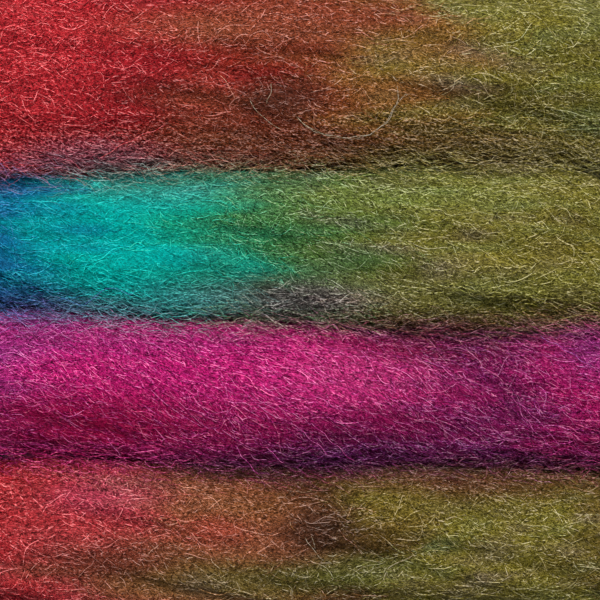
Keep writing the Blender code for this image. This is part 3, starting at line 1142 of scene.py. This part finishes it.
# single stray fibres: their dye, height over the wool, width, and way over the lay
strays = (
    (
        "fleece",
        1.2,
        0.115,
        ((-0.8, 29.4), (2, 27), (6.4, 25.8), (10, 26), (13.6, 28), (15, 30.4), (15.4, 34)),
    ),
    (
        "fleece",
        1.0,
        0.09,
        ((-0.4, 29), (2.2, 26.8), (6.4, 25.6), (10.4, 26), (13.2, 27.6), (14.6, 30), (18, 32.6)),
    ),
    ("coral", 0.8, 0.09, ((-32, 22.4), (-29, 24.3), (-25.6, 26), (-21.3, 27.8))),
    ("clay", 0.7, 0.09, ((-12.8, 35.7), (-11.2, 33.8), (-10.4, 31.8))),
    ("fleece", 0.6, 0.08, ((-4.5, 34.4), (-4.8, 32.6), (-5.3, 31))),
    ("fleece", 0.7, 0.09, ((-8, 31.7), (-6, 29.2), (-2.9, 27.2))),
    (
        "indigo",
        0.4,
        0.08,
        ((-38.4, -0.3), (-35.8, -0.5), (-33.3, -0.3), (-32, 1), (-30.4, 1.8), (-26.4, 1.6)),
    ),
    ("seaGreen", 0.6, 0.08, ((-36.5, 7.2), (-36.3, 6.6), (-35.8, 6))),
    ("rose", 0.5, 0.09, ((-10.4, -23.2), (-8.6, -25.6), (-6.4, -28))),
    ("rose", 0.5, 0.08, ((-5.3, -23.5), (-3.9, -24.9), (-2.4, -26))),
    ("rose", 0.5, 0.08, ((0, -20.5), (2.4, -22.7), (4.8, -24.8))),
    ("rose", 0.6, 0.08, ((1.9, -19.5), (5.4, -22.8), (8.8, -25.9))),
    ("rose", 0.5, 0.08, ((-30.9, -21.9), (-29.6, -23.4), (-28.5, -25.1))),
    ("rose", 0.7, 0.08, ((33.9, -15.7), (37.8, -19.2), (41.6, -23.5))),
    ("rose", 0.7, 0.08, ((34.4, -16.8), (37.2, -20.6), (40.3, -23.5))),
    ("violet", 0.7, 0.08, ((38.4, -5.9), (42.2, -7.9), (46.4, -10.7))),
    ("rose", 0.5, 0.08, ((13.1, -21.1), (14.2, -20.3), (15.5, -19.5))),
    ("fleece", 0.7, 0.09, ((0.8, -37.6), (2.2, -39.7), (4, -41.6))),
    ("tan", 0.5, 0.08, ((-1.6, -35.2), (-1.2, -36), (-0.8, -36.8))),
    ("fleece", 0.6, 0.08, ((1.9, -37.6), (2.1, -38.6), (2.4, -39.5))),
    ("moss", 0.8, 0.08, ((22, 12.4), (26.5, 13.8), (31.2, 13.2), (33.6, 11))),
    ("olive", 0.7, 0.08, ((30.4, 36), (35, 34.8), (38.2, 31.6), (39, 28))),
)
strayFibres = {"steps": 22, "crimp": 0.12, "wave": (1.5, 2.2), "clear": 0.1, "tone": 0.75}


def stray(dye, lift, width, way):
    way, steps = np.array(way), strayFibres["steps"]
    t = np.concatenate([[0], np.cumsum(np.linalg.norm(np.diff(way, axis=0), axis=1))])
    fine = np.linspace(0, t[-1], steps)
    flat = []
    for k in (0, 1):
        smooth = np.polyval(np.polyfit(t, way[:, k], min(5, len(way) - 1)), fine) + shift[k]
        wave = fine * rng.uniform(*strayFibres["wave"]) + rng.uniform(0, 6)
        flat.append(smooth + strayFibres["crimp"] * np.sin(wave))
    share = fine / t[-1]
    z = heightAt(filledField, *flat) + strayFibres["clear"] + lift * np.sin(np.pi * share) ** 0.5
    paths = np.stack([*flat, z], axis=-1)[None]
    return {
        "paths": paths,
        "normals": upwards(paths),
        "colours": np.tile(dyeValues(dye), (1, steps, 1)),
        "tone": np.full((1, steps), strayFibres["tone"]),
        "roll": np.zeros(1),
        "width": np.array([width]),
    }


addFibres("stray_fibres", joined([stray(*row) for row in strays]), 3)

wisps = {
    "count": 420,  # at each end
    "segments": 9,
    "from": 20,  # millimetres back from the end
    "beyond": 8.5,
    "length": 1,  # before it is stretched
    "spread": 7,  # degrees
    "curl": 22,
    "wave": (4, 9),
    "sway": 9,
    "clear": 0.15,
    "lift": 0.5,
    "migration": 3,
    "tone": 0.42,
    "toneSpread": 0.18,
    "roll": 0.7,
    "width": 0.085,
}


def wispsOf(end):
    # the fibres that the hand drew out where the roving was pulled apart: they thin out past its end
    count, steps = wisps["count"], wisps["segments"] + 1
    back = wisps["from"] * rng.uniform(0.08, 1, count) ** 0.8
    place = np.abs(end - back)
    start, _ = onSkin(place, rng.uniform(0.2, 0.8, count), np.full(count, 0.1))
    reach = back + wisps["beyond"] * rng.beta(1.2, 2.2, count)
    heading = np.radians(rng.normal(0, wisps["spread"], count))
    goAlong, goAcross, t, phase = bent(count, steps, wisps, heading)
    goAlong, goAcross = goAlong - goAlong[:, :1], goAcross - goAcross[:, :1]
    stretch = (reach / goAlong[:, -1])[:, None]
    x = start[:, :1] - goAlong * stretch
    y = start[:, 1:2] + goAcross * stretch
    lift = wisps["lift"] * rng.uniform(0, 1, (count, 1)) * np.sin(np.pi * t)
    fall = start[:, 2:] * (1 - t) ** 1.3 + wisps["clear"] + lift
    z = np.maximum(fall, heightAt(topField, x, y) + 0.1)
    paths = np.stack([x, y, z], axis=-1)
    colours = fibreColours(np.repeat(place[:, None], steps, 1), paths, wisps["migration"])
    return dressed(paths, upwards(paths), colours, phase, wisps)


addFibres("tip_wisps", joined([wispsOf(0), wispsOf(fullLength)]), 2)
print("strays and wisps made")

# floor, light and camera
stage = {
    "floorSize": 3,
    "floorColour": "ccc9c4",
    "floorRoughness": 0.9,
    "skyColour": "f2f4f8",
    "skyStrength": 0.53,
    "windowPlace": (-0.12, 0.42, 0.62),
    "windowSize": 0.35,
    "windowWatts": 9.0,
    "windowColour": "fffaf2",
}
photo = {"width": 0.096, "level": 0.019, "lens": 90, "sensor": 36}


def addFloor():
    bm = bmesh.new()
    bmesh.ops.create_grid(bm, x_segments=1, y_segments=1, size=stage["floorSize"])
    mesh = bpy.data.meshes.new("floor")
    bm.to_mesh(mesh)
    bm.free()
    paper = bpy.data.materials.new("pale_floor")
    paper.use_nodes = True
    shader = paper.node_tree.nodes["Principled BSDF"]
    shader.inputs["Base Color"].default_value = (*linear(stage["floorColour"]), 1)
    shader.inputs["Roughness"].default_value = stage["floorRoughness"]
    mesh.materials.append(paper)
    floor = addObject("floor", mesh)


def addWindow():
    lamp = bpy.data.lights.new("window", "AREA")
    lamp.size = stage["windowSize"]
    lamp.energy = stage["windowWatts"]
    lamp.color = tuple(linear(stage["windowColour"]))
    window = addObject("window", lamp)
    window.location = stage["windowPlace"]
    window.rotation_euler = (-Vector(stage["windowPlace"])).to_track_quat("-Z", "Y").to_euler()


addFloor()
addWindow()
world = bpy.data.worlds.new("studio")
world.use_nodes = True
sky = world.node_tree.nodes["Background"]
sky.inputs["Color"].default_value = (*linear(stage["skyColour"]), 1)
sky.inputs["Strength"].default_value = stage["skyStrength"]
bpy.context.scene.world = world
bpy.context.scene.view_settings.view_transform = "Standard"

camera = bpy.data.cameras.new("camera")
camera.lens = photo["lens"]
camera.sensor_width = photo["sensor"]
camera.clip_start = 0.01
distance = photo["width"] * photo["lens"] / photo["sensor"]
cameraObject = addObject("camera", camera)
cameraObject.location = (shift[0] * mm, shift[1] * mm, photo["level"] + distance)
bpy.context.scene.camera = cameraObject
